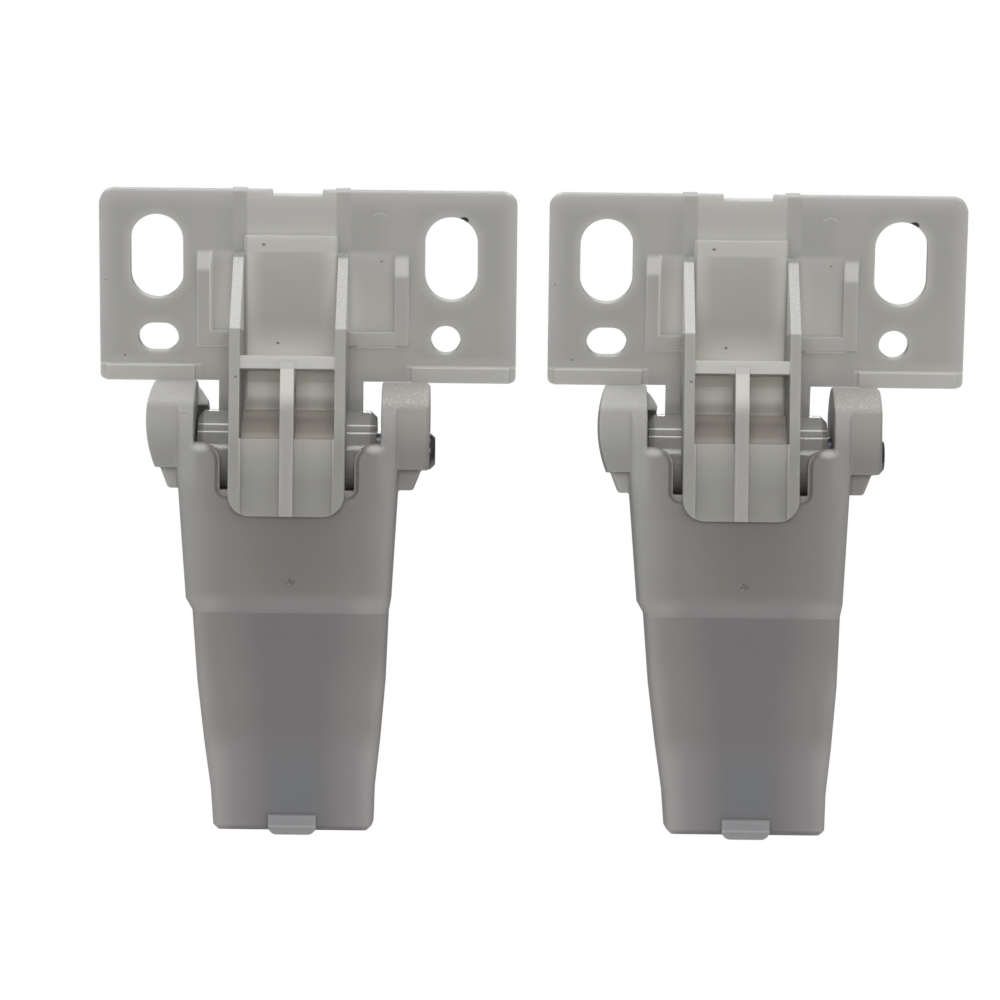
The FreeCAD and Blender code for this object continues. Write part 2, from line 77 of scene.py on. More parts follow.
# Dark specks on a plate's front: across and up, and radius, in millimetres
specks = (((-4.4, 32.7), 0.30), ((-2.1, 16.4), 0.28), ((14.6, 30.0), 0.20), ((-27.0, 14.0), 0.20),
          ((-30.0, 26.5), 0.16))

# Finish of the moulded and turned edges
weld_distance = 1e-6
cut_distance = 2e-5
flat_angle = math.radians(0.1)
eased_angle = math.radians(28.0)
straight_on = -0.8
room_share = 0.3
edge_segments = 3
housing_edge = 0.00042
bracket_edge = 0.00016
slider_edge = 0.00016
steel_edge = 0.00012

# The housing's cavity from the pivot, whose edges stay sharp
cavity_low = Vector((-0.01475, -0.00765, -0.0620))
cavity_high = Vector((0.01475, 0.0070, -0.0091))

# Low rails that stand on the slider, beside the cam, and step up behind the barrel
rail_gap = 0.0074
rail_height = 0.00055
rail_step_y = 0.0042
rail_step_height = 0.0019
facing_up = 0.99

# Scar left by the moulding gate, from the pivot
gate_place = Vector((0.00062, -0.00957, -0.0213))
gate_radius = 0.0010
gate_height = 0.00014
gate_squeeze = 0.62
gate_corners = 22
gate_rings = ((0.86, 1.0), (0.62, 0.45), (0.40, 0.9), (0.18, 0.5))

# The coil spring
wire_diameter = 0.0018
spring_turns = 10.0
closed_turns = 1.0
coil_steps = 40
wire_steps = 12

# The picture
picture_width = 0.16204
camera_distance = 0.8
camera_sensor = 36.0
camera_roll = math.radians(0.65)
camera_target = Vector((-0.00215, 0.0, 0.0181))
sky_strength = 0.2
front_exposure = 0.80
plate_exposure = 0.69
bump_distance = 0.001
floor_z = -0.12
floor_radius = 0.45


def linear(level):
    """One 0 to 255 screen level as light."""
    share = level / 255
    if share <= 0.04045:
        return share / 12.92
    return ((share + 0.055) / 1.055) ** 2.4


def seen(red, green, blue, exposure=front_exposure):
    """The paint that shows as this screen colour on a face turned to the camera."""
    return tuple(linear(level) / exposure for level in (red, green, blue)) + (1.0,)


def on_plate(red, green, blue):
    """The same for the leaning plate."""
    return seen(red, green, blue, plate_exposure)


class Wire:
    """An output socket. An expression on wires and numbers adds the Math nodes that work it out."""

    def __init__(self, graph, socket):
        self.graph = graph
        self.socket = socket

    def math(self, operation, first, second):
        return self.graph.add("ShaderNodeMath", {"operation": operation}, {0: first, 1: second})

    def __add__(self, other):
        return self.math("ADD", self, other)

    def __radd__(self, other):
        return self.math("ADD", other, self)

    def __sub__(self, other):
        return self.math("SUBTRACT", self, other)

    def __rsub__(self, other):
        return self.math("SUBTRACT", other, self)

    def __mul__(self, other):
        return self.math("MULTIPLY", self, other)

    def __rmul__(self, other):
        return self.math("MULTIPLY", other, self)

    def __truediv__(self, other):
        return self.math("DIVIDE", self, other)

    def __rtruediv__(self, other):
        return self.math("DIVIDE", other, self)

    def __abs__(self):
        return self.graph.add("ShaderNodeMath", {"operation": "ABSOLUTE"}, {0: self})


class Graph:
    """A node tree, for a shader or for geometry. One method adds any node."""

    def __init__(self, tree):
        self.tree = tree
        tree.nodes.clear()

    def add(self, kind, settings, inputs, output=0):
        node = self.tree.nodes.new(kind)
        for name, value in settings.items():
            setattr(node, name, value)
        for key, value in inputs.items():
            if isinstance(value, Wire):
                self.tree.links.new(value.socket, node.inputs[key])
            else:
                node.inputs[key].default_value = value
        return Wire(self, node.outputs[output]) if len(node.outputs) else None

    def rise(self, value, low, high):
        """Climbs smoothly from 0 to 1 as the value goes from low to high."""
        return self.add("ShaderNodeMapRange", {"interpolation_type": "SMOOTHSTEP"},
                        {0: value, 1: low, 2: high, 3: 0.0, 4: 1.0})

    def between(self, value, low, high, soft):
        """1 between low and high, with soft edges."""
        begun = self.rise(value, low - soft / 2, low + soft / 2)
        ended = self.rise(value, high - soft / 2, high + soft / 2)
        return begun * (1 - ended)

    def least(self, first, second):
        return self.add("ShaderNodeMath", {"operation": "MINIMUM"}, {0: first, 1: second})

    def most(self, first, second):
        return self.add("ShaderNodeMath", {"operation": "MAXIMUM"}, {0: first, 1: second})

    def length(self, first, second):
        return self.add("ShaderNodeMath", {"operation": "SQRT"}, {0: first * first + second * second})

    def mix(self, share, first, second):
        """The second colour over the first, by its share."""
        return self.add("ShaderNodeMix", {"data_type": "RGBA"}, {0: share, 6: first, 7: second}, 2)

    def noise(self, place, scale, detail, roughness=0.5):
        return self.add("ShaderNodeTexNoise", {}, {
            "Vector": place, "Scale": scale, "Detail": detail, "Roughness": roughness})


class Paint(Graph):
    """A material that measures in millimetres about one hinge's pivot."""

    def __init__(self, name, side):
        self.material = bpy.data.materials.new(name)
        self.material.use_nodes = True
        super().__init__(self.material.node_tree)
        place = self.add("ShaderNodeTexCoord", {}, {}, "Object")
        self.place = self.add("ShaderNodeMapping", {}, {
            "Vector": place, "Location": -pivots[side] * 1000, "Scale": (1000.0, 1000.0, 1000.0)})
        self.x = self.axis("X")
        self.y = self.axis("Y")
        self.z = self.axis("Z")

    def axis(self, name):
        return self.add("ShaderNodeSeparateXYZ", {}, {0: self.place}, name)

    def spot(self, across, up, middle, radii, soft):
        """1 inside an ellipse, with a soft rim."""
        away = self.length((across - middle[0]) / radii[0], (up - middle[1]) / radii[1])
        return 1 - self.rise(away, 1 - soft, 1 + soft)

    def slot_edge(self, across, up, middle, straight, radius):
        """Distance outside a slot that stands upright in across and up."""
        beyond = self.most(abs(up - middle[1]) - straight, 0.0)
        return self.length(across - middle[0], beyond) - radius

    def bump(self, height):
        return self.add("ShaderNodeBump", {}, {
            "Height": height, "Distance": bump_distance, "Strength": 1.0}, "Normal")

    def finish(self, colour, roughness, **rest):
        """Ends the tree in one Principled shader and returns the material."""
        names = {"Base Color": colour, "Roughness": roughness}
        names.update({name.replace("_", " "): value for name, value in rest.items()})
        shader = self.add("ShaderNodeBsdfPrincipled", {}, names)
        self.add("ShaderNodeOutputMaterial", {}, {"Surface": shader})
        return self.material


def plastic_finish(paint, colour, rough_mask, grain, gloss=0.0):
    """Milky moulded plastic: smooth skin with a faint ripple, spark-rough where the mask is 1 and
    polished where the gloss is 1. Where it is rough, painted glints fleck the colour with pale specks."""
    ripple = paint.noise(paint.place, 0.35, 2.0)
    sparks = paint.noise(paint.place, 2.6, 3.0, 0.6)
    height = ripple * 0.02 + sparks * rough_mask * grain
    normal = paint.bump(height)
    # Painted glints: pale specks mixed into the colour where the skin is rough.
    glints = paint.rise(paint.noise(paint.place, 3.4, 1.0), 0.54, 0.64) * rough_mask
    colour = paint.mix(0.4 * glints, colour, (0.9, 0.9, 0.88, 1.0))
    roughness = 0.48 - 0.2 * glints - 0.36 * gloss
    return paint.finish(colour, roughness, Normal=normal, IOR=1.49, Specular_IOR_Level=0.35,
                        Subsurface_Weight=0.6, Subsurface_Radius=(1.0, 0.95, 0.85),
                        Subsurface_Scale=0.0022)


def plate_colour(paint, up, front):
    """Painted light and shade: paler at the edges and round the holes, where light comes through the
    milky plastic, palest between the arms, where painted light lifts the shade under the bar, darker
    over the rear ribs, where the thicker plastic lets less light through, and a brownish painted shade
    on the neck. The front alone has painted highlights on the frame's ends and along the lips' lines,
    painted light on the frame's sides and in the recesses beside the arms, and the ejector's arc."""
    x = paint.x
    wing = paint.mix(paint.rise(up, 17.0, 30.0), on_plate(152, 151, 146), on_plate(146, 145, 141))
    rib = paint.mix(paint.rise(up, 17.0, 30.0), on_plate(158, 157, 153), on_plate(151, 150, 146))
    colour = paint.mix(paint.between(abs(x - 2.0), 13.0, 19.0, 4.0), wing, rib)
    # Painted shade: a warmer, browner tint on the neck low down, where it lies in shade.
    neck = paint.between(abs(x - 0.6), 8.5, 15.5, 3.0) * (1 - paint.rise(up, 14.5, 16.0))
    colour = paint.mix(neck, colour, on_plate(162, 160, 153))
    # Painted light: the recesses beside the arms are lifted against their shade, most next to the arms
    # and low down.
    recess = paint.between(x, -13.0, -9.3, 0.4) + paint.between(x, 9.3, 16.8, 0.4)
    recess = recess * paint.between(up, 18.3, 31.5, 1.0) * front
    high = paint.rise(up, 20.0, 30.0)
    close = paint.mix(high, on_plate(179, 178, 174), on_plate(165, 164, 160))
    far = paint.mix(high, on_plate(166, 165, 161), on_plate(159, 158, 154))
    colour = paint.mix(recess, colour, paint.mix(paint.rise(abs(x), 9.3, 12.5), close, far))
    # Painted light: thin pale lines on the inner side of the left frame leg and along the foot of the
    # frame, lifting their dark shading.
    wall_light = (paint.between(x, -13.2, -12.7, 0.2) * paint.between(up, 18.3, 31.5, 0.6)
             + paint.between(up, 15.6, 16.1, 0.2) * paint.between(abs(x - 0.9), 9.8, 16.2, 0.4))
    colour = paint.mix(wall_light * front, colour, on_plate(182, 181, 177))
    # Painted light: the plate is paler towards its edges, where light comes through the milky plastic.
    inside = (paint.rise(x + 31.0, 0.0, 3.2) * paint.rise(36.5 - x, 0.0, 3.2)
              * paint.rise(41.35 - up, 0.0, 3.6) * paint.rise(up - 9.95, 0.0, 2.4))
    colour = paint.mix(1 - inside, colour, on_plate(159, 158, 156))
    # Painted light: paler round the holes, where light comes through their edges.
    holes = paint.least(paint.slot_edge(x, up, left_screw_slot, screw_slot_straight, screw_slot_radius),
                        paint.slot_edge(x, up, right_screw_slot, screw_slot_straight, screw_slot_radius))
    holes = paint.least(holes, paint.slot_edge(up, x, locating_slot[::-1], locating_slot_straight,
                                               locating_radius))
    holes = paint.least(holes, paint.slot_edge(x, up, locating_hole, 0.0, locating_radius))
    colour = paint.mix(0.5 - 0.5 * paint.rise(holes, 0.1, 1.8), colour, on_plate(166, 165, 161))
    # Painted shade: darker over the rear ribs, where the thicker plastic lets less light through.
    rear_ribs = paint.between(x, -9.4, -7.0, 0.5) + paint.between(x, 7.2, 9.7, 0.5)
    colour = paint.mix(rear_ribs * paint.rise(up, 31.5, 33.0), colour, on_plate(151, 150, 146))
    # Painted light between the arms: paler between the rear ribs near the top, and palest low down and
    # towards the arms, lifting the shade under the bar.
    centre = paint.between(x, -7.1, 7.3, 0.5)
    upper = paint.mix(paint.rise(up, 33.5, 37.0), on_plate(171, 170, 165), on_plate(162, 161, 157))
    upper = paint.mix(paint.rise(up, 38.5, 41.0), upper, on_plate(168, 167, 163))
    pad = paint.mix(paint.rise(up, 22.0, 30.0), on_plate(164, 163, 158), on_plate(158, 157, 152))
    pad = paint.mix(1 - paint.rise(up, 12.5, 21.0), pad, on_plate(200, 199, 194))
    pad = paint.mix(paint.rise(abs(x), 4.0, 7.2) * 0.35, pad, on_plate(206, 205, 200))
    zone = paint.mix(paint.rise(up, 31.3, 31.7), pad, upper)
    colour = paint.mix(centre, colour, zone)
    # Painted highlights on the upper ends of the frame's legs.
    frame_highlights = (paint.between(x, -15.2, -13.0, 0.7) * paint.between(up, 28.4, 31.4, 1.0)
               + paint.between(x, 16.8, 19.0, 0.7) * paint.between(up, 27.6, 30.8, 1.0))
    colour = paint.mix(frame_highlights * 0.75 * front, colour, on_plate(188, 187, 184))
    ring = paint.between(paint.length(x - 14.3, up - 36.4), 1.4, 1.6, 0.2) * paint.rise(up, 37.2, 37.5)
    colour = paint.mix(ring * 0.6 * front, colour, on_plate(180, 179, 176))
    foot = paint.between(x, 9.4, 17.0, 0.4) + paint.between(x, -15.2, -9.4, 0.4) * 0.6
    foot = foot * paint.between(up, 16.1, 18.3, 0.4)
    colour = paint.mix(foot * front, colour, on_plate(161, 160, 156))
    # The lip along the bottom of each wing: paler strips, and a painted highlight along the lip's top
    # edge.
    outer = (1 - paint.between(x, -14.6, 18.8, 0.5)) * front
    colour = paint.mix((1 - paint.rise(up, 13.4, 14.6)) * outer, colour, on_plate(160, 159, 155))
    colour = paint.mix((1 - paint.rise(up, 12.0, 12.4)) * outer, colour, on_plate(167, 166, 162))
    return paint.mix(paint.between(up, 12.3, 12.75, 0.25) * outer, colour, on_plate(181, 180, 176))


def arm_colour(paint):
    """The arm and its tongue: ribs and rims pale. Painted light lifts the shade on the centre rib and in
    the recess behind the tongue, which is brownish with bands of painted shade; the slopes carry a
    painted highlight, and the barrel is painted darker below, with two painted highlight lines.
    """
    x = paint.x
    z = paint.z
    middle = abs(x)
    right = paint.rise(x, -1.0, 1.0)
    web = paint.mix(right, seen(139, 138, 133), seen(136, 135, 130))
    web = paint.mix(paint.rise(z, -6.0, -2.0), web, seen(147, 146, 141))
    web = paint.mix(paint.rise(z, -2.5, 1.0), web, seen(158, 156, 151))
    rim = paint.mix(right, seen(141, 140, 135), seen(135, 134, 129))
    rim = paint.mix(paint.rise(z, -2.0, 8.0), rim, seen(153, 152, 147))
    colour = paint.mix(paint.rise(middle, 7.3, 7.7), web, rim)
    # Painted light: the centre rib is lifted towards the bar above it, against the shade there.
    rib = paint.mix(paint.rise(z, 5.5, 9.5), seen(153, 151, 147), seen(200, 197, 193))
    colour = paint.mix(1 - paint.rise(middle, 1.05, 1.25), colour, rib)
    bar = paint.between(z, 12.7, 14.9, 0.2) * (1 - paint.rise(middle, 7.5, 7.7))
    colour = paint.mix(bar, colour, seen(181, 180, 176))
    # Painted light and shade in the recess behind the tongue: lifted against the deep shade, palest
    # under the bar and in a thin line along the barrel's top, with a darker, brownish band of painted
    # shade on the barrel's front below it.
    recess = (1 - paint.rise(middle, 7.4, 7.6)) * paint.rise(paint.y, -9.5, -7.0) * (1 - bar)
    recess = recess * (1 - paint.rise(z, 12.6, 12.9))
    deep = paint.mix(paint.rise(z, 1.9, 3.0), seen(192, 187, 178), seen(172, 167, 159))
    deep = paint.mix(paint.rise(z, 4.5, 6.1), deep, seen(218, 213, 204))
    deep = paint.mix(paint.rise(z, 6.3, 7.0), deep, seen(183, 179, 172))
    deep = paint.mix(paint.rise(z, 10.4, 12.0), deep, seen(232, 229, 223))
    colour = paint.mix(recess, colour, deep)
    # Painted highlight: the sloping faces of the arm are pale where the overhead light glances off them.
    slope = paint.rise(z, 18.9, 19.4)
    colour = paint.mix(slope, colour, paint.mix(right, seen(201, 200, 196), seen(191, 190, 186)))
    # Painted shade and highlights on the barrel: darker below, and two thin painted highlight lines
    # along its front, where the strip lamps reflect.
    barrel = paint.rise(middle, 9.35, 9.5) * (1 - paint.rise(paint.length(paint.y, z), 6.45, 6.7))
    shade = paint.mix(paint.rise(z, 3.0, 5.5), seen(142, 140, 136), seen(152, 151, 148))
    lines = paint.between(z, 3.82, 4.02, 0.1) + paint.between(z, 2.58, 2.80, 0.1)
    shade = paint.mix(lines * (1 - paint.rise(paint.y, -1.0, 0.0)), shade, (0.93, 0.93, 0.92, 1.0))
    return paint.mix(barrel, colour, shade), slope, barrel


def bracket_plastic(side):
    """The lid bracket's milky plastic, with the painted light and shade of its plate and arm and the
    dark specks that it carries.
    """
    paint = Paint(side + "_bracket_plastic", side)
    up = paint.z * math.cos(lean) - paint.y * math.sin(lean)
    behind = paint.z * math.sin(lean) + paint.y * math.cos(lean)
    leaning = paint.rise(behind, 4.9, 5.3)
    front = 1 - paint.rise(behind, 6.4, 7.0)
    arm, slope, barrel = arm_colour(paint)
    colour = paint.mix(leaning, arm, plate_colour(paint, up, front))
    # Painted shade: the plate's top face is darkened against the strong light that falls on it from
    # overhead.
    top = paint.rise(up, 41.2, 41.4)
    colour = paint.mix(top, colour, seen(146, 145, 145))
    ragged = paint.noise(paint.place, 2.0, 2.0) * 1.4
    for middle, radius in specks:
        speck = paint.spot(paint.x, up, middle, (radius, radius * 0.7), 0.5) * leaning * front * ragged
        colour = paint.mix(paint.least(speck, 0.8), colour, on_plate(70, 68, 66))
    speck = paint.spot(paint.x, paint.z, (-8.2, 11.4), (0.22, 0.16), 0.5) * (1 - leaning)
    colour = paint.mix(speck * 0.8, colour, seen(60, 58, 55))
    colour = paint.mix(paint.spot(paint.x, up, (27.9, 36.9), (0.75, 0.55), 0.2), colour,
                       on_plate(40, 37, 36))
    return plastic_finish(paint, colour, slope * (1 - leaning), 0.09, barrel)


def housing_plastic(side):
    """The housing's milky plastic: a dark body with soft pale margins of painted light and a darker
    middle of painted shade over the hollow inside, cooler below the shoulder, with a cool strip of
    painted shade down the middle, painted highlights on the tab and on the tops of the front wall
    beside the notch, painted light on the faces of the notch, and rough pale knuckles."""
    paint = Paint(side + "_housing_plastic", side)
    x = paint.x
    z = paint.z
    left = 1 - paint.rise(x, -1.0, 1.0)
    reach = abs(x - 0.6)
    # Painted light and shade: soft pale margins towards the sides, where light comes through the
    # plastic, and a darker middle over the hollow inside.
    margin = paint.rise(reach + 1.2 * left, 11.2, 18.7)
    upper = paint.mix(margin, seen(124, 122, 118), seen(143, 142, 140))
    upper = paint.mix(paint.spot(x, z, (2.0, -17.0), (8.0, 9.0), 0.8), upper, seen(113, 108, 104))
    shoulder = paint.between(z, -27.0, -23.8, 2.4) * (1 - 0.8 * paint.rise(reach, 9.0, 14.0))
    upper = paint.mix(shoulder, upper, seen(125, 123, 122))
    ends = paint.between(z, -27.0, -23.8, 2.4) * paint.rise(reach, 8.0, 13.0)
    upper = paint.mix(0.8 * ends, upper, seen(146, 144, 142))
    # Painted light and shade below the shoulder: darker in the middle, over the hollow inside, and paler
    # towards the sides, where light comes through them.
    out = abs(x - 0.35 + (z + 24.0) * 0.0314) - 0.9 * (1 - left)
    out = out - (1.2 + 1.0 * (1 - left)) * paint.rise(z, -40.0, -30.0)
    lower = paint.mix(paint.rise(out, 2.0, 12.0), seen(109, 105, 106), seen(125, 122, 121))
    lower = paint.mix(paint.rise(out, 10.5, 14.8), lower, seen(146, 143, 141))
    foot = paint.mix(paint.rise(out, 3.0, 10.0), seen(112, 109, 111), seen(129, 125, 126))
    foot = paint.mix(paint.rise(out, 8.5, 12.6), foot, seen(148, 144, 144))
    lower = paint.mix(1 - paint.rise(z, -50.0, -44.0), lower, foot)
    # Painted shade: a cool dark strip down the middle, where a part inside shows through the plastic as
    # shade.
    strip = paint.between(x, -2.4, 5.6, 3.2) * (1 - paint.rise(z, -52.0, -46.0))
    lower = paint.mix(strip, lower, seen(107, 108, 110))
    # The tab, with a painted highlight along its lower front edge.
    tab = (1 - paint.rise(z, -58.0, -57.6)) * (1 - paint.rise(paint.y, -9.0, -8.8))
    edge = paint.between(z, -60.6, -60.3, 0.2)
    lower = paint.mix(tab, lower, paint.mix(edge, seen(131, 131, 133), seen(150, 150, 152)))
    colour = paint.mix(paint.rise(z, -26.45, -26.2), lower, upper)
    ear = paint.mix(left, seen(139, 135, 132), seen(149, 148, 146))
    ear = paint.mix(paint.rise(z, 0.0, 7.0) * 0.5, ear, seen(176, 175, 173))
    colour = paint.mix(paint.rise(abs(x), 14.0, 15.6) * paint.rise(z, -9.0, -3.0), colour, ear)
    boss = paint.rise(abs(x), 17.8, 18.0) * paint.rise(z, -12.0, -11.0)
    knuckle = paint.mix(left, seen(123, 119, 116), seen(135, 134, 130))
    pale = paint.mix(left, seen(150, 147, 142), seen(157, 156, 152))
    colour = paint.mix(boss, colour, paint.mix(paint.rise(z, -2.0, 6.5), knuckle, pale))
    gusset = boss * (1 - paint.rise(z, -3.4, -3.0))
    colour = paint.mix(gusset, colour, paint.mix(left, seen(138, 134, 131), seen(160, 159, 156)))
    top = paint.rise(z, 6.4, 8.0)
    colour = paint.mix(top, colour, paint.mix(left, seen(174, 171, 166), seen(182, 181, 179)))
    # Painted highlight: a soft pale spot on the top of the front wall beside the notch, on each side.
    shoulder_highlight = paint.spot(abs(x), z, (14.0, 0.3), (1.3, 0.8), 0.6) * (1 - paint.rise(paint.y, -9.3, -8.9))
    colour = paint.mix(shoulder_highlight, colour, seen(176, 175, 172))
    # Painted light: the faces of the notch, within the front wall's thickness, are lifted against their
    # shade.
    wall = paint.between(abs(x), 9.4, 13.2, 0.8) * paint.between(z, -8.0, -0.2, 1.6)
    wall = wall * (1 - paint.rise(paint.y, -7.4, -7.0)) * paint.rise(paint.y, -9.2, -8.9)
    colour = paint.mix(wall, colour, seen(176, 174, 170))
    rough = paint.rise(z, 6.4, 7.8) * (1 - 0.4 * paint.rise(z, 9.0, 10.5)) * (1 - 0.5 * left)
    return plastic_finish(paint, colour, rough, 0.10)


def slider_plastic(side):
    """The slider's white plastic, with painted light along its rails, lifting the deep shade in the gap
    beside the tongue.
    """
    paint = Paint(side + "_slider_plastic", side)
    blush = paint.noise(paint.place, 0.2, 2.0)
    colour = paint.mix(blush, seen(158, 157, 150), seen(168, 167, 161))
    # Painted light: the rails are paler, lifting the deep shade of the gap they sit in.
    rails = paint.rise(paint.z, -8.5, -7.0)
    colour = paint.mix(rails, colour, seen(182, 178, 170))
    return plastic_finish(paint, colour, 0.0, 0.0)


def pin_steel(side):
    """Bright ground steel, drawn along the pin, its colour darkened as a painted reflection of dark
    surroundings.
    """
    paint = Paint(side + "_pin_steel", side)
    stretched = paint.add("ShaderNodeMapping", {}, {"Vector": paint.place, "Scale": (0.3, 6.0, 6.0)})
    streaks = paint.noise(stretched, 1.4, 4.0)
    colour = paint.mix(streaks, (0.10, 0.10, 0.105, 1.0), (0.20, 0.20, 0.21, 1.0))
    return paint.finish(colour, 0.16 + 0.10 * streaks, Metallic=1.0,
                        Normal=paint.bump(streaks * 0.01))


def spring_steel(side):
    """Drawn spring wire with a thin film of oil."""
    paint = Paint(side + "_spring_steel", side)
    mottle = paint.noise(paint.place, 1.1, 3.0)
    colour = paint.mix(mottle, (0.12, 0.12, 0.13, 1.0), (0.26, 0.26, 0.27, 1.0))
    return paint.finish(colour, 0.26 + 0.16 * mottle, Metallic=1.0,
                        Normal=paint.bump(mottle * 0.02))


def cut_across(work, point, direction):
    """Cuts every face on a plane and marks the cut."""
    parts = list(work.verts) + list(work.edges) + list(work.faces)
    result = bmesh.ops.bisect_plane(work, geom=parts, plane_co=point, plane_no=direction,
                                    dist=cut_distance)
    for part in result["geom_cut"]:
        if isinstance(part, bmesh.types.BMEdge):
            part.seam = True


def join_faces(work, cuts):
    """Welds a mesh and joins its flat triangles. The cuts, each a point and a direction, keep any
    joined face from closing round a hole."""
    bmesh.ops.remove_doubles(work, verts=work.verts, dist=weld_distance)
    for point, direction in cuts:
        cut_across(work, point, direction)
    bmesh.ops.dissolve_limit(work, angle_limit=flat_angle, verts=work.verts, edges=work.edges,
                             delimit={"SEAM"})
    bmesh.ops.dissolve_degenerate(work, dist=cut_distance, edges=work.edges)


def sharp_lines(work):
    """The sharp edges of a mesh, gathered into lines that run straight on."""
    sharp = {edge for edge in work.edges
             if len(edge.link_faces) == 2 and edge.calc_face_angle(0) >= eased_angle}
    lines = []
    waiting = set(sharp)
    while waiting:
        line = [waiting.pop()]
        for edge in line:
            for corner in edge.verts:
                ahead = (edge.other_vert(corner).co - corner.co).normalized()
                for other in corner.link_edges:
                    if other not in waiting:
                        continue
                    onward = (other.other_vert(corner).co - corner.co).normalized()
                    if ahead.dot(onward) < straight_on:
                        waiting.remove(other)
                        line.append(other)
        lines.append(line)
    return lines


def in_cavity(line, pivot):
    """Whether a line runs inside the housing's cavity."""
    places = [corner.co - pivot for edge in line for corner in edge.verts]
    return all(low <= part <= high for place in places
               for low, part, high in zip(cavity_low, place, cavity_high))


def weigh_edges(work, edge_width, pivot, hollow):
    """Gives each sharp line as much of the edge width as its neighbours leave room for. The hollow
    housing keeps the lines in its cavity sharp."""
    weight = work.edges.layers.float.new("bevel_weight_edge")
    for line in sharp_lines(work):
        if hollow and in_cavity(line, pivot):
            continue
        along = set(line)
        room = min((other.calc_length() for edge in line for corner in edge.verts
                    for other in corner.link_edges if other not in along), default=edge_width)
        for edge in line:
            edge[weight] = min(1.0, room_share * room / edge_width)


def raise_faces(work, chosen, height):
    """Draws flat faces straight up."""
    raised = bmesh.ops.extrude_face_region(work, geom=chosen)
    corners = [part for part in raised["geom"] if isinstance(part, bmesh.types.BMVert)]
    bmesh.ops.delete(work, geom=chosen, context="FACES_ONLY")
    bmesh.ops.translate(work, verts=corners, vec=(0, 0, height))


def raise_rails(work, pivot):
    """Draws the two ends of the slider's top up into low rails beside the cam, in two steps."""
    for side in (-1, 1):
        cut_across(work, pivot + Vector((side * rail_gap, 0, 0)), (1, 0, 0))
    cut_across(work, pivot + Vector((0, rail_step_y, 0)), (0, 1, 0))
    for behind, height in ((-1.0, rail_height), (rail_step_y, rail_step_height - rail_height)):
        top = max(corner.co.z for corner in work.verts)
        ends = [face for face in work.faces if face.normal.z > facing_up and
                face.calc_center_median().z > top - weld_distance and
                face.calc_center_median().y > behind and
                abs(face.calc_center_median().x - pivot.x) > rail_gap]
        raise_faces(work, ends, height)


def dressed(node, name, edge_width, material, side):
    """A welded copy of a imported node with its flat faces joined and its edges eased."""
    mesh = frame["nodes"][node].data.copy()
    work = bmesh.new()
    work.from_mesh(mesh)
    join_faces(work, hole_cuts(side))
    if name.endswith("slider_moulding"):
        raise_rails(work, pivots[side])
    weigh_edges(work, edge_width, pivots[side], name.endswith("housing_moulding"))
    work.to_mesh(mesh)
    work.free()
    mesh.materials.clear()
    mesh.materials.append(material)
    piece = bpy.data.objects.new(name, mesh)
    bpy.context.scene.collection.objects.link(piece)
    for polygon in mesh.polygons:
        polygon.use_smooth = True
    bevel = piece.modifiers.new("eased edges", "BEVEL")
    bevel.width = edge_width
    bevel.segments = edge_segments
    bevel.limit_method = "WEIGHT"
    bevel.use_clamp_overlap = False
    shading = piece.modifiers.new("flat faces stay flat", "WEIGHTED_NORMAL")
    shading.weight = 100
    return baked(piece)


def baked(piece):
    """The piece with its modifiers worked into its mesh."""
    graph = bpy.context.evaluated_depsgraph_get()
    mesh = bpy.data.meshes.new_from_object(piece.evaluated_get(graph))
    piece.modifiers.clear()
    piece.data = mesh
    return piece


def gate_scar(side):
    """The small ragged scar that the moulding gate leaves on the front wall."""
    work = bmesh.new()
    bmesh.ops.create_circle(work, cap_ends=True, radius=gate_radius, segments=gate_corners)
    rim = list(work.edges)
    for share, height in gate_rings:
        ring = bmesh.ops.extrude_edge_only(work, edges=rim)["geom"]
        corners = [part for part in ring if isinstance(part, bmesh.types.BMVert)]
        rim = [part for part in ring if isinstance(part, bmesh.types.BMEdge)]
        for corner in corners:
            turn = math.atan2(corner.co.y, corner.co.x)
            ragged = 1.0 + 0.16 * math.sin(3 * turn + 9 * share) + 0.10 * math.sin(7 * turn + 5 * share)
            reach = gate_radius * share * ragged
            torn = gate_height * height * (0.75 + 0.25 * math.sin(5 * turn + 11 * share))
            corner.co = Vector((reach * math.cos(turn), reach * math.sin(turn), torn))
    bmesh.ops.contextual_create(work, geom=rim)
    bmesh.ops.recalc_face_normals(work, faces=work.faces)
    mesh = bpy.data.meshes.new(side + "_gate_scar")
    work.to_mesh(mesh)
    work.free()
    upright = Matrix.Translation(pivots[side] + gate_place) @ Matrix.Rotation(math.radians(90.0), 4, "X")
    mesh.transform(upright @ Matrix.Diagonal((1.0, gate_squeeze, 1.0, 1.0)))
    paint = Paint(side + "_gate_scar", side)
    chips = paint.rise(paint.noise(paint.place, 4.5, 2.0), 0.45, 0.65)
    colour = paint.mix(chips, seen(92, 87, 84), seen(138, 134, 130))
    mesh.materials.append(paint.finish(colour, 0.5))
    scar = bpy.data.objects.new(side + "_gate_scar", mesh)
    bpy.context.scene.collection.objects.link(scar)
    return scar


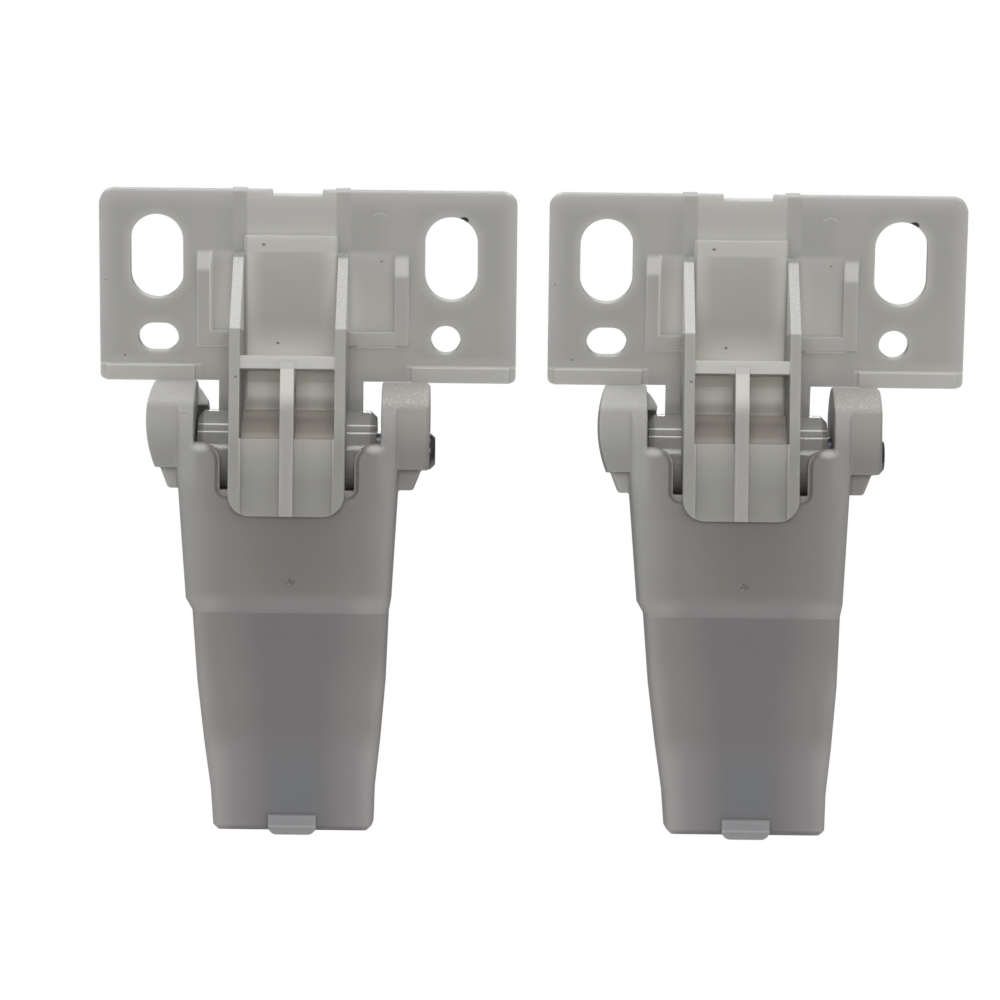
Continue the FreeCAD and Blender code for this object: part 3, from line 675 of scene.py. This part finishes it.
def coil_tree():
    """Geometry nodes for a coil spring with closed ends, standing on its origin."""
    group = bpy.data.node_groups.new("coil spring", "GeometryNodeTree")
    graph = Graph(group)
    sockets = {}
    for name, kind in (("Wire Diameter", "NodeSocketFloat"), ("Coil Radius", "NodeSocketFloat"),
                       ("Length", "NodeSocketFloat"), ("Turns", "NodeSocketFloat"),
                       ("Closed Turns", "NodeSocketFloat"), ("Finish", "NodeSocketMaterial")):
        sockets[name] = group.interface.new_socket(name, in_out="INPUT", socket_type=kind).identifier
    group.interface.new_socket("Geometry", in_out="OUTPUT", socket_type="NodeSocketGeometry")
    given = group.nodes.new("NodeGroupInput")
    wire = Wire(graph, given.outputs["Wire Diameter"])
    radius = Wire(graph, given.outputs["Coil Radius"])
    length = Wire(graph, given.outputs["Length"])
    turns = Wire(graph, given.outputs["Turns"])
    closed = Wire(graph, given.outputs["Closed Turns"])
    spiral = graph.add("GeometryNodeCurveSpiral", {}, {
        "Resolution": coil_steps, "Rotations": turns, "Start Radius": radius, "End Radius": radius,
        "Height": length})
    along = graph.add("GeometryNodeSplineParameter", {}, {}, "Factor")
    end_share = closed / turns

    def climb(start, stop):
        return graph.add("ShaderNodeMapRange", {}, {0: along, 1: start, 2: stop, 3: 0.0, 4: 1.0})

    closed_rise = closed * wire
    open_rise = length - wire - closed_rise * 2
    height = (wire / 2 + closed_rise * climb(0.0, end_share)
              + open_rise * climb(end_share, 1 - end_share)
              + closed_rise * climb(1 - end_share, 1.0))
    place = graph.add("GeometryNodeInputPosition", {}, {})
    across = graph.add("ShaderNodeSeparateXYZ", {}, {0: place}, "X")
    deep = graph.add("ShaderNodeSeparateXYZ", {}, {0: place}, "Y")
    moved = graph.add("ShaderNodeCombineXYZ", {}, {"X": across, "Y": deep, "Z": height})
    line = graph.add("GeometryNodeSetPosition", {}, {"Geometry": spiral, "Position": moved})
    section = graph.add("GeometryNodeCurvePrimitiveCircle", {}, {
        "Resolution": wire_steps, "Radius": wire / 2})
    tube = graph.add("GeometryNodeCurveToMesh", {}, {
        "Curve": line, "Profile Curve": section, "Fill Caps": True})
    smooth = graph.add("GeometryNodeSetShadeSmooth", {}, {"Geometry": tube})
    real = graph.add("GeometryNodeRealizeInstances", {}, {"Geometry": smooth})
    finished = graph.add("GeometryNodeSetMaterial", {}, {
        "Geometry": real, "Material": Wire(graph, given.outputs["Finish"])})
    graph.add("NodeGroupOutput", {}, {0: finished})
    return group, sockets


def coil_spring(node, name, material):
    """A closed-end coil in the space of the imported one."""
    low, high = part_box(node)
    values = {
        "Wire Diameter": wire_diameter,
        "Coil Radius": (high.x - low.x - wire_diameter) / 2,
        "Length": high.z - low.z,
        "Turns": spring_turns,
        "Closed Turns": closed_turns,
        "Finish": material,
    }
    piece = bpy.data.objects.new(name, bpy.data.meshes.new(name))
    bpy.context.scene.collection.objects.link(piece)
    group, sockets = coil_tree()
    modifier = piece.modifiers.new("coil", "NODES")
    modifier.node_group = group
    for key, value in values.items():
        modifier[sockets[key]] = value
    baked(piece)
    centre = (low + high) / 2
    for vertex in piece.data.vertices:
        vertex.co += Vector((centre.x, centre.y, low.z))
    return piece


def hole_cuts(side):
    """Planes through the middle of every hole of a hinge."""
    pivot = pivots[side]
    cuts = [(pivot, (0, 1, 0)), (pivot, (0, 0, 1))]
    for x in (left_holes_x, 0.0, right_holes_x):
        cuts.append((pivot + Vector((x, 0, 0)), (1, 0, 0)))
    return cuts


def make_hinge(side):
    """The five pieces of one hinge and its gate scar; the bracket and the slider each on a body of
    its own, the rest on the root body.
    """
    plain = [
        ("housing", "housing_moulding", housing_edge, housing_plastic(side), "root", "housing_plastic"),
        ("lid_bracket", "bracket_moulding", bracket_edge, bracket_plastic(side), side + "_bracket",
         "bracket_plastic"),
        ("pivot_pin", "turned_pin", steel_edge, pin_steel(side), "root", "pin_steel"),
        ("cam_slider", "slider_moulding", slider_edge, slider_plastic(side), side + "_slider",
         "slider_plastic"),
    ]
    for node, name, edge, material, body, slot in plain:
        piece = dressed(side + "_" + node, side + "_" + name, edge, material, side)
        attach(piece, body)
        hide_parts(side + "_" + node)
    scar = gate_scar(side)
    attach(scar, "root")
    node = side + "_compression_spring"
    coil = coil_spring(node, side + "_spring_coil", spring_steel(side))
    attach(coil, "root")
    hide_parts(node)
    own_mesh(coil)


def make_floor():
    """A pale round floor under the pair."""
    mesh = bpy.data.meshes.new("floor")
    work = bmesh.new()
    bmesh.ops.create_circle(work, cap_ends=True, radius=floor_radius, segments=128)
    work.to_mesh(mesh)
    work.free()
    mesh.transform(Matrix.Translation((0.0, 0.0, floor_z)))
    material = bpy.data.materials.new("pale_floor")
    material.use_nodes = True
    shader = material.node_tree.nodes["Principled BSDF"]
    shader.inputs["Base Color"].default_value = (0.8, 0.8, 0.8, 1.0)
    shader.inputs["Roughness"].default_value = 0.7
    mesh.materials.append(material)
    floor = bpy.data.objects.new("floor", mesh)
    bpy.context.scene.collection.objects.link(floor)


def make_world():
    """White to the camera, and a dimmer even light on the pair."""
    world = bpy.data.worlds.new("studio")
    bpy.context.scene.world = world
    world.use_nodes = True
    graph = Graph(world.node_tree)
    straight = graph.add("ShaderNodeLightPath", {}, {}, "Is Camera Ray")
    strength = straight * (1.0 - sky_strength) + sky_strength
    light = graph.add("ShaderNodeBackground", {}, {
        "Color": (1.0, 1.0, 1.0, 1.0), "Strength": strength})
    graph.add("ShaderNodeOutputWorld", {}, {"Surface": light})


def soft_light(name, place, size, power):
    """A rectangular lamp that faces the middle of the pair."""
    data = bpy.data.lights.new(name, "AREA")
    data.shape = "RECTANGLE"
    data.size = size[0]
    data.size_y = size[1]
    data.energy = power
    lamp = bpy.data.objects.new(name, data)
    lamp.location = place
    lamp.rotation_euler = (-Vector(place)).to_track_quat("-Z", "Y").to_euler()
    bpy.context.scene.collection.objects.link(lamp)


def at_elevation(degrees, distance):
    """A point in front of the pair, this far round from level towards overhead."""
    angle = math.radians(degrees)
    return (0.0, -distance * math.cos(angle), distance * math.sin(angle))


def make_lights():
    """A soft box in front, one at each side, one overhead and one behind, and two strips that glint
    along the barrels."""
    soft_light("front_box", at_elevation(6.0, 0.95), (0.35, 0.28), 2.7)
    for name, side in (("left_box", -1), ("right_box", 1)):
        soft_light(name, (side * 0.85, -0.38, 0.08), (0.5, 0.5), 1.4)
    soft_light("overhead", (0.0, -0.22, 0.85), (0.8, 0.5), 1.5)
    soft_light("back_box", (0.0, 0.8, 0.55), (0.6, 0.5), 3.0)
    soft_light("high_strip", at_elevation(75.0, 0.9), (1.2, 0.02), 0.8)
    soft_light("low_strip", at_elevation(49.5, 0.9), (1.2, 0.02), 0.6)


def make_camera():
    """Level and square on, with the photo's slight roll."""
    data = bpy.data.cameras.new("camera")
    data.sensor_width = camera_sensor
    data.lens = camera_sensor * camera_distance / picture_width
    data.clip_end = 10.0
    camera = bpy.data.objects.new("camera", data)
    away = Vector((0.0, -1.0, 0.0))
    camera.location = camera_target + away * camera_distance
    level = (-away).to_track_quat("-Z", "Y")
    roll = Quaternion((0.0, 0.0, 1.0), camera_roll)
    camera.rotation_euler = (level @ roll).to_euler()
    bpy.context.scene.collection.objects.link(camera)
    bpy.context.scene.camera = camera


for side in ("left", "right"):
    make_hinge(side)
make_floor()
make_world()
make_lights()
make_camera()
bpy.context.scene.view_settings.view_transform = "Standard"
